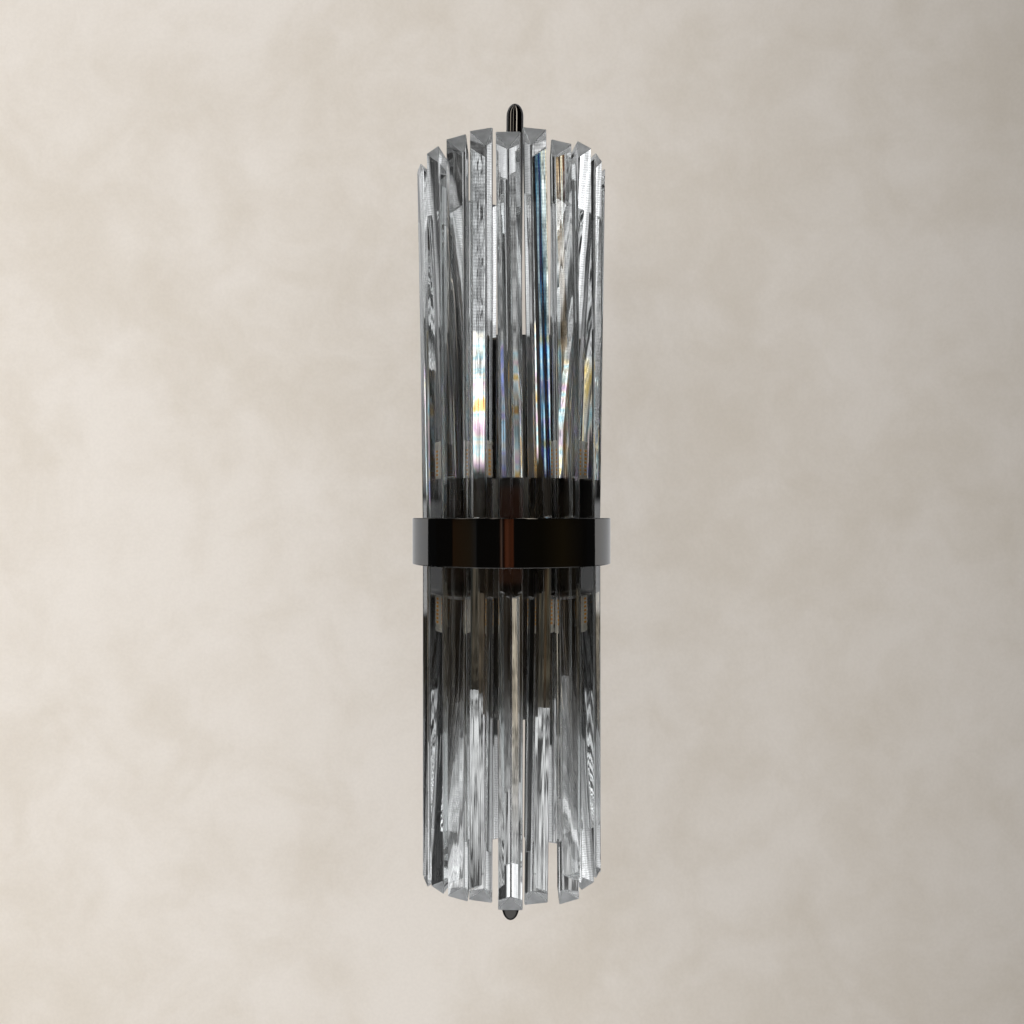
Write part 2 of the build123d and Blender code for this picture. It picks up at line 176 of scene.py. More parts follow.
def block(name, low, high):
    """A box between two corners."""
    clear_selection()
    size = [high[i] - low[i] for i in range(3)]
    middle = [(high[i] + low[i]) / 2 for i in range(3)]
    bpy.ops.mesh.primitive_cube_add(size=1, location=middle, scale=size)
    return settle(name)


def select_nothing(piece, edges=False, faces=False):
    """Nothing of the piece's mesh selected, and edit mode set to pick its edges or its faces."""
    only(piece)
    bpy.context.tool_settings.mesh_select_mode = (False, edges, faces)
    mesh = piece.data
    for group in (mesh.vertices, mesh.edges, mesh.polygons):
        for part in group:
            part.select = False
    return mesh


def pick_faces(piece, wanted):
    """Edit mode with just the faces selected whose centre and normal pass the test."""
    mesh = select_nothing(piece, faces=True)
    for face in mesh.polygons:
        face.select = wanted(face.center, face.normal)
    bpy.ops.object.mode_set(mode="EDIT")


def pick_edges(piece, wanted):
    """Edit mode with just the edges selected whose two ends pass the test."""
    mesh = select_nothing(piece, edges=True)
    for edge in mesh.edges:
        edge.select = wanted(mesh.vertices[edge.vertices[0]].co, mesh.vertices[edge.vertices[1]].co)
    bpy.ops.object.mode_set(mode="EDIT")


def bevel_rim(piece, axis, place, width, segments):
    """Bevels the edges that lie in one plane across an axis, where 1 is Y and 2 is Z."""
    pick_edges(piece, lambda a, b: abs(a[axis] - place) < NEAR and abs(b[axis] - place) < NEAR)
    bpy.ops.mesh.bevel(offset=width, segments=segments, affect="EDGES")


def give_finish(piece, number, wanted):
    """Puts one of the piece's own materials on the faces that pass the test."""
    pick_faces(piece, wanted)
    piece.active_material_index = number
    bpy.ops.object.material_slot_assign()


def finish_edit(piece, smooth_angle=None):
    """Back to object mode, with normals outward and, where wanted, smooth shading below an angle."""
    only(piece)
    bpy.ops.object.mode_set(mode="EDIT")
    bpy.ops.mesh.select_all(action="SELECT")
    bpy.ops.mesh.remove_doubles(threshold=0.000002)
    bpy.ops.mesh.normals_make_consistent(inside=False)
    bpy.ops.object.mode_set(mode="OBJECT")
    if smooth_angle is not None:
        bpy.ops.object.shade_smooth_by_angle(angle=smooth_angle)


def apply(piece, kind, **settings):
    """Gives the piece a modifier with these settings and applies it."""
    only(piece)
    modifier = piece.modifiers.new(kind.lower(), kind)
    for setting, value in settings.items():
        setattr(modifier, setting, value)
    bpy.ops.object.modifier_apply(modifier=modifier.name)


def true_normals(piece):
    """Keeps the large faces shaded flat beside their small bevels."""
    apply(piece, "WEIGHTED_NORMAL", keep_sharp=True, weight=100)


def discard(piece):
    """Removes a piece that was only a tool or a pattern."""
    mesh = piece.data
    bpy.data.objects.remove(piece)
    bpy.data.meshes.remove(mesh)


def cut_away(piece, cutters):
    """Cuts the cutters out of the piece and removes them."""
    for cutter in cutters:
        apply(piece, "BOOLEAN", operation="DIFFERENCE", solver="EXACT", object=cutter)
        discard(cutter)


def side_cutter(name, radius, angle, height, start, end, sides=32):
    """A round cutter that points out from the lamp's axis."""
    clear_selection()
    out = Vector((math.cos(angle), math.sin(angle), 0))
    middle = Vector((0, axis_y, height)) + out * (start + end) / 2
    turn = out.to_track_quat("Z", "Y").to_euler()
    bpy.ops.mesh.primitive_cylinder_add(
        vertices=sides, radius=radius, depth=end - start, location=middle, rotation=turn)
    return settle(name)


def put(piece, place):
    """Moves a piece by a matrix that ends up in its mesh."""
    only(piece)
    piece.matrix_world = place
    bpy.ops.object.transform_apply(location=True, rotation=True, scale=True)


def placed_copy(piece, name, place):
    """A copy with its own mesh, moved by a matrix."""
    copy = piece.copy()
    copy.data = piece.data.copy()
    copy.name = name
    copy.data.name = name
    bpy.context.scene.collection.objects.link(copy)
    put(copy, place)
    return copy


def hand_over(piece, body, slot, *replaced):
    """The piece rides on its body and stands for the CAD nodes it replaces."""
    if piece.location.length > 1e-9 or tuple(piece.scale) != (1.0, 1.0, 1.0):
        raise RuntimeError(f"{piece.name} has its place outside its mesh")
    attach(piece, body)
    if replaced:
        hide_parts(*replaced)


# ------------------------------------------------------------- finish tools
class Flow:
    """A value on its way through a finish, so that sums of values are written plainly."""

    def __init__(self, finish, socket):
        self.finish = finish
        self.socket = socket

    def __add__(self, other):
        return self.finish.maths("ADD", self, other)

    def __radd__(self, other):
        return self.finish.maths("ADD", other, self)

    def __sub__(self, other):
        return self.finish.maths("SUBTRACT", self, other)

    def __rsub__(self, other):
        return self.finish.maths("SUBTRACT", other, self)

    def __mul__(self, other):
        return self.finish.maths("MULTIPLY", self, other)

    def __rmul__(self, other):
        return self.finish.maths("MULTIPLY", other, self)

    def __truediv__(self, other):
        return self.finish.maths("DIVIDE", self, other)


class Finish:
    """A material or world made of nodes."""

    def __init__(self, name, world=None):
        if world is None:
            self.data = bpy.data.materials.new(name)
            self.end_kind = "ShaderNodeOutputMaterial"
        else:
            self.data = world
            self.end_kind = "ShaderNodeOutputWorld"
        self.data.use_nodes = True
        self.tree = self.data.node_tree
        self.tree.nodes.clear()

    def node(self, kind, settings=None, inputs=None, output=0):
        """Adds a node: its settings first, then the values or links of its sockets."""
        made = self.tree.nodes.new(kind)
        for setting, value in (settings or {}).items():
            if setting == "stops":
                elements = made.color_ramp.elements
                elements[0].position = value[0][0]
                elements[1].position = value[-1][0]
                for position, colour in value[1:-1]:
                    elements.new(position)
                for element, (position, colour) in zip(elements, value):
                    element.color = (*colour, 1.0)
            else:
                setattr(made, setting, value)
        for key, value in (inputs or {}).items():
            socket = made.inputs[key]
            if isinstance(value, Flow):
                self.tree.links.new(value.socket, socket)
            elif socket.type == "RGBA" and len(value) == 3:
                socket.default_value = (*value, 1.0)
            else:
                socket.default_value = value
        return Flow(self, made.outputs[output]) if made.outputs else None

    def maths(self, operation, *values):
        """A sum or function of values."""
        return self.node("ShaderNodeMath", {"operation": operation}, dict(enumerate(values)))

    def mapped(self, where, scale=(1, 1, 1), turn=(0, 0, 0)):
        """A place or direction, scaled and turned for a pattern."""
        return self.node("ShaderNodeMapping", inputs={"Vector": where, "Scale": scale, "Rotation": turn})

    def place(self, scale=(1, 1, 1), turn=(0, 0, 0)):
        """Object coordinates, scaled and turned for a pattern."""
        return self.mapped(self.node("ShaderNodeTexCoord", output="Object"), scale, turn)

    def noise(self, where, scale, detail=2.0, rough=0.5, warp=0.0):
        return self.node("ShaderNodeTexNoise", inputs={
            "Vector": where, "Scale": scale, "Detail": detail, "Roughness": rough, "Distortion": warp})

    def ramp(self, value, low, high, to_low=0.0, to_high=1.0, soft=True):
        """Maps low..high to to_low..to_high and stays there beyond."""
        return self.node(
            "ShaderNodeMapRange", {"interpolation_type": "SMOOTHSTEP" if soft else "LINEAR", "clamp": True},
            {"Value": value, "From Min": low, "From Max": high, "To Min": to_low, "To Max": to_high})

    def clamp(self, value):
        """The value, held between 0 and 1."""
        return self.ramp(value, 0.0, 1.0, soft=False)

    def between(self, value, opens, full, closes, shut):
        """1 from full to closes, and 0 before opens and after shut."""
        return self.ramp(value, opens, full) * self.ramp(value, closes, shut, 1.0, 0.0)

    def blend(self, factor, first, second, way="MIX"):
        """A colour between two colours."""
        return self.node(
            "ShaderNodeMix", {"data_type": "RGBA", "blend_type": way},
            {0: factor, 6: first, 7: second}, output=2)

    def grey(self, value):
        """A colour from one value."""
        return self.node("ShaderNodeCombineColor", inputs={0: value, 1: value, 2: value})

    def bump(self, height, distance, strength=1.0):
        return self.node("ShaderNodeBump", inputs={
            "Height": height, "Distance": distance, "Strength": strength})

    def split(self, value, kind="ShaderNodeSeparateXYZ"):
        """The three parts of a place, a direction or a colour."""
        first = self.node(kind, inputs={0: value})
        return [Flow(self, socket) for socket in first.socket.node.outputs]

    def ray(self, kind):
        """1 for light paths of this kind and 0 for the others."""
        return self.node("ShaderNodeLightPath", output=kind)

    def surface(self, **inputs):
        """The main shader, with plain values on its own sockets."""
        return self.node("ShaderNodeBsdfPrincipled", inputs={
            key.replace("_", " "): value for key, value in inputs.items()})

    def glow(self, colour):
        return self.node("ShaderNodeEmission", inputs={"Color": colour, "Strength": 1.0})

    def backdrop(self, colour, strength):
        return self.node("ShaderNodeBackground", inputs={"Color": colour, "Strength": strength})

    def either(self, factor, first, second):
        """The first shader where the factor is 0 and the second where it is 1."""
        return self.node("ShaderNodeMixShader", inputs={0: factor, 1: first, 2: second})

    def close(self, shader):
        """Ends the finish with this shader."""
        self.node(self.end_kind, inputs={"Surface": shader})
        return self.data


# ------------------------------------------------------------------ finishes
def clear_crystal(f, roughness, normal):
    """The crystal itself, under whatever its surface is like."""
    s = bpy.context.scene.sconce_crystal
    return f.surface(
        Base_Color=s.tint, IOR=s.ior, Transmission_Weight=1.0, Roughness=roughness, Normal=normal)


def part_ground(f, crystal, share, tone):
    """Crystal with a share of its surface ground, where light spreads."""
    ground = f.node("ShaderNodeBsdfTranslucent", inputs={"Color": tone})
    return f.close(f.either(share, crystal, ground))


def crystal_finish():
    """Clear crystal with the faint upright lines that polishing along its length leaves."""
    f = Finish("crystal")
    waves = f.noise(f.place((1, 1, 0.012)), 230, 1.0, 0.5)
    ripple = f.noise(f.place((1, 1, 0.05), (0, 0, 0.4)), 60, 1.0, 0.4)
    smear = f.noise(f.place((1, 1, 0.25)), 55, 3.0, 0.6)
    return f.close(clear_crystal(
        f, f.ramp(smear, 0.5, 0.8, 0.0, 0.008), f.bump(waves + ripple * 0.5, 0.00003, 0.4)))


def edge_finish():
    """The narrow bevels along the prisms, ground finer than the cut ends."""
    f = Finish("crystal_bevel")
    grain = f.noise(f.place((1, 1, 0.04)), 700, 2.0, 0.6)
    patch = f.noise(f.place((1, 1, 0.3)), 75, 2.0, 0.6)
    crystal = clear_crystal(f, f.ramp(grain, 0.35, 0.7, 0.03, 0.12), f.bump(grain, 0.00004, 0.5))
    return part_ground(f, crystal, f.ramp(patch, 0.35, 0.68, 0.14, 0.52), (0.88, 0.90, 0.90))


def cut_finish():
    """The mitred ends, sawn and polished less than the long faces."""
    f = Finish("crystal_cut_end")
    scratch = f.noise(f.place(turn=(0.3, 0.2, 0.5)), 900, 3.0, 0.6)
    cloud = f.noise(f.place(), 130, 2.0, 0.5)
    crystal = clear_crystal(f, f.ramp(scratch, 0.35, 0.7, 0.10, 0.24), f.bump(scratch, 0.00004, 0.5))
    return part_ground(f, crystal, f.ramp(cloud, 0.3, 0.7, 0.5, 0.7), (0.86, 0.87, 0.88))


def nickel_finish(name, wave=0.4, tone=1.0):
    """Polished black nickel with a little orange peel, fine streaks and finger haze."""
    colour = bpy.context.scene.sconce_metal.nickel
    f = Finish(name)
    peel = f.noise(f.place((1, 1, 0.7)), 60, 1.5, 0.4)
    haze = f.noise(f.place(), 38, 4.0, 0.6)
    streak = f.noise(f.place((0.15, 0.15, 1)), 2600, 2.0, 0.5)
    warm = tuple(c * tone for c in colour)
    cool = tuple(c * tone * k for c, k in zip(colour, (0.93, 0.97, 1.03)))
    return f.close(f.surface(
        Base_Color=f.blend(f.ramp(haze, 0.35, 0.7), warm, cool),
        Metallic=1.0,
        Roughness=f.ramp(haze, 0.4, 0.75, 0.035, 0.09) + f.ramp(streak, 0.55, 0.8, 0.0, 0.03),
        Normal=f.bump(peel, 0.0002, wave)))


def drum_finish():
    """Dark satin casting with a fine grain and paler rubbed places."""
    colour = bpy.context.scene.sconce_metal.drum_black
    f = Finish("black_aluminium")
    grain = f.noise(f.place(), 1400, 3.0, 0.6)
    cloud = f.noise(f.place(), 45, 3.0, 0.55)
    rubbed = tuple(min(1.0, c * 1.9) for c in colour)
    return f.close(f.surface(
        Base_Color=f.blend(f.ramp(cloud, 0.45, 0.75), colour, rubbed),
        Metallic=1.0,
        Roughness=f.ramp(grain, 0.3, 0.7, 0.14, 0.24),
        Normal=f.bump(grain, 0.00003, 0.4)))


def moulded_finish(name, colour, rough, grain_scale, coat=0.0):
    """Moulded plastic or glazed ceramic with a soft mottle."""
    f = Finish(name)
    grain = f.noise(f.place(), grain_scale, 2.0, 0.5)
    cloud = f.noise(f.place(), 90, 2.0, 0.5)
    deep = tuple(c * 0.86 for c in colour)
    return f.close(f.surface(
        Base_Color=f.blend(f.ramp(cloud, 0.35, 0.7), colour, deep),
        Roughness=f.ramp(grain, 0.3, 0.7, rough * 0.85, rough * 1.15),
        Coat_Weight=coat, Coat_Roughness=0.06,
        Normal=f.bump(grain, 0.00003, 0.3)))


def phosphor_finish():
    """Amber face of a light chip, with a deeper mottle."""
    colour = bpy.context.scene.sconce_lamp.phosphor
    f = Finish("amber_chip")
    mottle = f.noise(f.place(), 1500, 2.0, 0.5)
    deep = tuple(c * k for c, k in zip(colour, (0.72, 0.58, 0.6)))
    return f.close(f.surface(
        Base_Color=f.blend(f.ramp(mottle, 0.35, 0.65), colour, deep),
        Roughness=0.32, Coat_Weight=0.6, Coat_Roughness=0.1,
        Normal=f.bump(mottle, 0.00002, 0.3)))


def steel_finish(name, colour, rough, spangle=0.25):
    """Plated steel with a faint spangle and drawn lines."""
    f = Finish(name)
    cell = f.node("ShaderNodeTexVoronoi", {"feature": "F1"}, {
        "Vector": f.place(), "Scale": 420.0, "Randomness": 1.0}, output="Distance")
    line = f.noise(f.place((1, 0.2, 0.06)), 2400, 2.0, 0.5)
    deep = tuple(c * (1 - spangle) for c in colour)
    return f.close(f.surface(
        Base_Color=f.blend(f.ramp(cell, 0.1, 0.8), colour, deep),
        Metallic=1.0,
        Roughness=f.ramp(line, 0.3, 0.7, rough * 0.75, rough * 1.25),
        Normal=f.bump(line, 0.00002, 0.25)))


# ----------------------------------------------------------- building pieces
# how the front prisms of each tier stand, and the two or three at the rear that show between
# them, by their place in the ring from the front, below 0 on the left: degrees of lean along
# the ring and outward, degrees of twist, and length against the others in mm
UPPER_STANCE = {
    -4: (-0.5, 0.2, -4.0, -3.9), -3: (0.0, -0.11, -1.5, -0.4), -2: (0.48, -0.06, 2.6, 1.1),
    -1: (0.35, 0.01, -3.0, 2.3), 0: (-0.52, 0.04, 0.2, -0.2), 1: (-1.2, 0.06, -2.3, 2.2),
    2: (-1.30, -0.20, -5.0, -2.2), 3: (-1.35, -0.25, -2.5, 0.8), 4: (-0.68, -0.35, -2.4, 0.5),
    9: (0.35, 0.0, 1.0, -1.0), 10: (0.0, 0.0, -1.5, -0.5), -9: (-0.35, 0.0, 2.0, -1.0),
}
LOWER_STANCE = {
    -4: (0.82, 0.12, 3.0, -0.4), -3: (0.11, -0.15, 0.9, -1.1), -2: (0.12, -0.06, -3.6, -1.3),
    -1: (-0.28, -0.06, -1.0, -2.7), 0: (-0.06, 0.01, 1.9, 0.8), 1: (-0.60, -0.10, 3.0, -1.8),
    2: (0.61, 0.10, 4.4, 0.7), 3: (0.40, 0.0, 0.6, -2.9), 4: (0.44, 0.06, -1.2, -4.0),
    9: (0.5, 0.0, 1.0, -1.0), -9: (-0.5, 0.0, -1.0, -0.6),
}
# the same four for the prisms that don't show one by one, from the least to the most
OTHER_STANCE = ((-0.45, 0.45), (-0.2, 0.15), (-2.5, 2.5), (-2.2, 0.5))


def is_cut_end(centre, normal):
    """The mitred end, its bevels and the foot."""
    return abs(normal.z) > 0.25


def is_long_bevel(centre, normal):
    """The bevel of the ridge, which faces back, and the two beside the flat front."""
    beside_front = abs(normal.x) > 0.5 and normal.y < -0.2
    return abs(normal.z) < 0.25 and (normal.y > 0.9 or beside_front)


def prism_master(name, length, mitre, bevel, cut_bevel, finishes):
    """One prism with its foot at z = 0, its flat towards -Y and its ridge line on the Z axis."""
    radius = prism_side / math.sqrt(3)
    top = length * 0.8
    piece = cylinder(name, radius, 0, length, at=(0, -radius), sides=3)
    slope = Vector((0, math.sin(mitre), math.cos(mitre)))
    pick_faces(piece, lambda centre, normal: True)
    bpy.ops.mesh.bisect(
        plane_co=(0, -1.5 * radius, length), plane_no=slope, use_fill=True, clear_outer=True)
    pick_edges(piece, lambda a, b: abs(a.z - b.z) > length / 2)
    bpy.ops.mesh.bevel(offset=bevel, offset_type="OFFSET", segments=1, affect="EDGES")
    pick_edges(piece, lambda a, b: a.z > top and b.z > top)
    bpy.ops.mesh.bevel(offset=cut_bevel, offset_type="OFFSET", segments=1, affect="EDGES")
    finish_edit(piece)
    for finish in finishes:
        piece.data.materials.append(finish)
    give_finish(piece, 1, is_cut_end)
    give_finish(piece, 2, is_long_bevel)
    clear_selection()
    return piece


def ring_number(name):
    """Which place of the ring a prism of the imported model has, from the front."""
    low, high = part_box(name)
    bearing = math.atan2((low.y + high.y) / 2 - axis_y, (low.x + high.x) / 2)
    place = round((bearing + math.pi / 2) / turn_step) % prism_count
    return place if place <= prism_count // 2 else place - prism_count


def ring_place(number, along, outward, twist, foot, up):
    """Where a prism stands: its ridge on the drum, its flat facing out."""
    ridge = flat_radius - prism_side * math.sqrt(3) / 2
    lean = Matrix.Rotation(outward, 4, "X") @ Matrix.Rotation(along, 4, "Y")
    if up > 0:
        stand = lean @ Matrix.Rotation(twist, 4, "Z")
        upright = Matrix.Identity(4)
    else:
        stand = lean.inverted() @ Matrix.Rotation(-twist, 4, "Z")
        upright = Matrix.Rotation(math.pi, 4, "Y")
    out = Matrix.Translation((0, -ridge, 0))
    turn = Matrix.Rotation(number * turn_step, 4, "Z")
    return Matrix.Translation((0, axis_y, foot)) @ turn @ out @ stand @ upright


class SCONCE_OT_crystals(bpy.types.Operator):
    """Stand the two tiers of mitred crystal prisms round the drum"""
    bl_idname = "sconce.crystals"
    bl_label = "Crystal prisms"
    bl_options = {"REGISTER", "UNDO"}

    def execute(self, context):
        s = context.scene.sconce_crystal
        finishes = (crystal_finish(), cut_finish(), edge_finish())
        chance = random.Random(18)
        upper = front_high.z - front_low.z
        lower = under_high.z - under_low.z
        for tier, up, height, mitre, splay, foot, stance in (
            ("upper", 1, upper, s.upper_mitre, s.upper_splay, front_low.z, UPPER_STANCE),
            ("lower", -1, lower, s.lower_mitre, 0.0, under_high.z, LOWER_STANCE),
        ):
            length = height / math.cos(splay)
            end = length * 0.75
            master = prism_master(f"{tier}_master", length, mitre, s.edge, s.cut_edge, finishes)
            for name in sorted(name for name in nodes if name.startswith(f"{tier}_prism_")):
                side = ring_number(name)
                if side in stance:
                    along, outward, twist, longer = stance[side]
                else:
                    along, outward, twist, longer = [chance.uniform(*limits) for limits in OTHER_STANCE]
                title = f"{tier}_crystal_{side % prism_count + 1:02d}"
                piece = placed_copy(master, title, Matrix.Identity(4))
                pick_faces(piece, lambda centre, normal: centre.z > end and abs(normal.z) > 0.05)
                bpy.ops.transform.translate(value=(0, 0, longer / 1000))
                put(piece, ring_place(
                    side, math.radians(along), splay + math.radians(outward), math.radians(twist), foot, up))
                hand_over(piece, "fixture", "crystal", name)
            discard(master)
        return {"FINISHED"}


class SCONCE_OT_band(bpy.types.Operator):
    """Make the polished band that hides the joint of the tiers"""
    bl_idname = "sconce.band"
    bl_label = "Band"
    bl_options = {"REGISTER", "UNDO"}

    def execute(self, context):
        s = context.scene.sconce_metal
        screw_low, screw_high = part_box("band_screws")
        screw_height = (screw_high.z + screw_low.z) / 2
        start, end = band_radius - 0.01, band_radius + 0.01
        band = cylinder("polished_band", band_radius, band_low.z, band_high.z, (0, axis_y), 256, "NOTHING")
        apply(band, "SOLIDIFY", thickness=s.band_wall, offset=-1)
        apply(band, "BEVEL", width=s.band_bevel, segments=3,
              limit_method="ANGLE", angle_limit=math.radians(40))
        cutters = [side_cutter("arm_cutter", arm_radius + 0.0003, math.pi / 2, arm_height, start, end, 48)]
        for angle in (55, 125):
            cutters.append(side_cutter(
                "screw_cutter", SCREW_HOLE, math.radians(angle), screw_height, start, end))
        cut_away(band, cutters)
        finish_edit(band, math.radians(35))
        true_normals(band)
        band.data.materials.append(nickel_finish("black_nickel_band", 0.3))
        hand_over(band, "fixture", "black_nickel", "band")
        return {"FINISHED"}


# length of a rod's bullet end against the rod's radius
NOSE_LENGTH = 1.48


def round_nose(rod, way, nose, tip, steps=9):
    """Draws the flat end of a rod out into a bullet, one ring at a time."""
    quarter = math.pi / 2
    for step in range(steps):
        near = quarter * step / steps
        far = quarter * (step + 1) / steps
        here = nose + (tip - nose) * math.sin(near)
        rise = (tip - nose) * (math.sin(far) - math.sin(near))
        shrink = max(0.04, math.cos(far)) / math.cos(near)
        pick_faces(rod, lambda centre, normal: normal.z * way > 0.9 and abs(centre.z - here) < 1e-5)
        bpy.ops.mesh.extrude_region_move(TRANSFORM_OT_translate={"value": (0, 0, rise)})
        bpy.ops.transform.resize(value=(shrink, shrink, 1), center_override=(0, axis_y, here))


class SCONCE_OT_rods(bpy.types.Operator):
    """Turn the two bullet-ended rods on the lamp's axis"""
    bl_idname = "sconce.rods"
    bl_label = "Rods"
    bl_options = {"REGISTER", "UNDO"}

    def execute(self, context):
        finish = nickel_finish("black_nickel_rod", 0.15, 1.1)
        stud_radius = 0.003
        for node, face, way, sway in (
            ("upper_rod", drum_top, 1, 0.0022), ("lower_rod", cover_bottom, -1, -0.0006),
        ):
            low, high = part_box(node)
            radius = (high.x - low.x) / 2
            stud_end, tip = (low.z, high.z) if way > 0 else (high.z, low.z)
            nose = tip - way * radius * NOSE_LENGTH
            bottom, top = sorted((face, nose))
            rod = cylinder(f"polished_{node}", radius, bottom, top, (0, axis_y))
            round_nose(rod, way, nose, tip)
            pick_faces(rod, lambda centre, normal: normal.z * way < -0.9 and abs(centre.z - face) < 1e-5)
            bpy.ops.mesh.inset(thickness=radius - stud_radius)
            bpy.ops.mesh.extrude_region_move(TRANSFORM_OT_translate={"value": (0, 0, stud_end - face)})
            finish_edit(rod, math.radians(40))
            lean = Matrix.Identity(4)
            lean[0][2] = sway / (tip - face)
            lean[0][3] = -lean[0][2] * face
            rod.data.transform(lean)
            rod.data.materials.append(finish)
            hand_over(rod, "fixture", "black_nickel", node)
        return {"FINISHED"}


# heights of the lamp's base, which sits in its holder, and of the lid on its column, and the
# number of the column's sides
LAMP_BASE, LAMP_LID = 0.0082, 0.0022
LAMP_FACETS = 8


def lamp_column(radius, bottom, top, middle):
    """The eight-sided column of the lamp, with a shallow panel in each side."""
    column = cylinder("lamp_shaft", radius, bottom, top, middle, LAMP_FACETS)
    pick_faces(column, lambda centre, normal: True)
    bpy.ops.transform.rotate(
        value=math.pi / LAMP_FACETS, orient_axis="Z", center_override=(*middle, bottom))
    pick_edges(column, lambda a, b: abs(a.z - b.z) > (top - bottom) / 2)
    bpy.ops.mesh.bevel(offset=0.00025, segments=2, affect="EDGES")
    pick_faces(column, lambda centre, normal: (
        abs(normal.z) < 0.1 and (Vector(middle) - centre.xy).length < radius * 0.935))
    bpy.ops.mesh.inset(thickness=0.0003, depth=-0.00012, use_individual=True)
    finish_edit(column)
    return column


def lamp_lid(radius, bottom, top, middle):
    """The round lid on the column, with a rounded rim and a shallow dish."""
    lid = cylinder("lamp_lid", radius, bottom, top, middle, 48)
    pick_faces(lid, lambda centre, normal: normal.z > 0.9)
    bpy.ops.mesh.inset(thickness=0.0016)
    bpy.ops.transform.translate(value=(0, 0, -0.0004))
    pick_edges(lid, lambda a, b: (
        abs(a.z - top) < NEAR and abs(b.z - top) < NEAR and (a.xy - Vector(middle)).length > radius * 0.95))
    bpy.ops.mesh.bevel(offset=0.0008, segments=3, affect="EDGES")
    finish_edit(lid, math.radians(40))
    return lid


def lamp_pin(x, y, tip, root):
    """One of the two flat contact pins."""
    half_width, half_depth = 0.00045, 0.0014
    pin = block("lamp_pin", (x - half_width, y - half_depth, tip), (x + half_width, y + half_depth, root))
    bevel_rim(pin, 2, tip, 0.0003, 2)
    finish_edit(pin)
    return pin


def light_chip(frame_finish, amber):
    """One light chip that faces +X: a pale frame round a sunken amber face."""
    half_width, half_height, depth, sunk = 0.0018, 0.001, 0.00055, 0.0005
    chip = block("light_chip", (0, -half_width, -half_height), (depth, half_width, half_height))
    pick_edges(chip, lambda a, b: a.x > sunk and b.x > sunk)
    bpy.ops.mesh.bevel(offset=0.00012, segments=1, affect="EDGES")
    pick_faces(chip, lambda centre, normal: normal.x > 0.9)
    bpy.ops.mesh.inset(thickness=0.00014, depth=-0.0001)
    clear_selection()
    chip.data.materials.append(frame_finish)
    chip.data.materials.append(amber)
    give_finish(chip, 1, lambda centre, normal: normal.x > 0.9 and centre.x < sunk)
    finish_edit(chip)
    return chip


class SCONCE_OT_lamps(bpy.types.Operator):
    """Build the four push-in lamps with their columns of light chips"""
    bl_idname = "sconce.lamps"
    bl_label = "Lamps"
    bl_options = {"REGISTER", "UNDO"}

    def execute(self, context):
        s = context.scene.sconce_lamp
        body_finish = moulded_finish("lamp_body", tuple(s.body), 0.38, 900, 0.2)
        frame_finish = moulded_finish("chip_frame", (0.84, 0.82, 0.76), 0.3, 2000, 0.3)
        amber = phosphor_finish()
        pin_finish = steel_finish("lamp_pins", (0.72, 0.7, 0.66), 0.25)
        low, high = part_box("bulb_1")
        middle = ((low.x + high.x) / 2, (low.y + high.y) / 2)
        base_radius = (high.x - low.x) / 2
        radius = base_radius - 0.00045
        foot = drum_top - LAMP_BASE
        top = high.z - LAMP_LID

        base = cylinder("lamp_base", base_radius, foot, drum_top, middle, 48)
        bevel_rim(base, 2, drum_top, 0.0005, 3)
        finish_edit(base, math.radians(35))
        pieces = [base, lamp_column(radius, drum_top, top, middle), lamp_lid(radius, top, high.z, middle)]
        for piece in pieces:
            piece.data.materials.append(body_finish)
        for side in (-1, 1):
            pin = lamp_pin(middle[0] + side * 0.0045, middle[1], low.z, foot)
            pin.data.materials.append(pin_finish)
            pieces.append(pin)

        chip = light_chip(frame_finish, amber)
        out = Matrix.Translation((radius * math.cos(math.pi / LAMP_FACETS) - 0.00015, 0, 0))
        for facet in range(LAMP_FACETS):
            turn = Matrix.Rotation(facet * 2 * math.pi / LAMP_FACETS, 4, "Z")
            for row in range(s.rows):
                height = drum_top + 0.0035 + row * s.pitch
                pieces.append(placed_copy(chip, "chip", Matrix.Translation((*middle, height)) @ turn @ out))
        discard(chip)
        clear_selection()
        for piece in pieces:
            piece.select_set(True)
        bpy.context.view_layer.objects.active = base
        bpy.ops.object.join()

        shift = Matrix.Translation((-middle[0], -middle[1], -high.z))
        for number in (1, 2, 3, 4):
            lamp_low, lamp_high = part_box(f"bulb_{number}")
            x, y = (lamp_low.x + lamp_high.x) / 2, (lamp_low.y + lamp_high.y) / 2
            if lamp_high.z > drum_top:
                place = Matrix.Translation((x, y, lamp_high.z)) @ shift
            else:
                place = Matrix.Translation((x, y, lamp_low.z)) @ Matrix.Rotation(math.pi, 4, "X") @ shift
            lamp = placed_copy(base, f"led_lamp_{number}", place)
            hand_over(lamp, f"lamp_{number}", "led_lamp", f"bulb_{number}")
        discard(base)
        return {"FINISHED"}


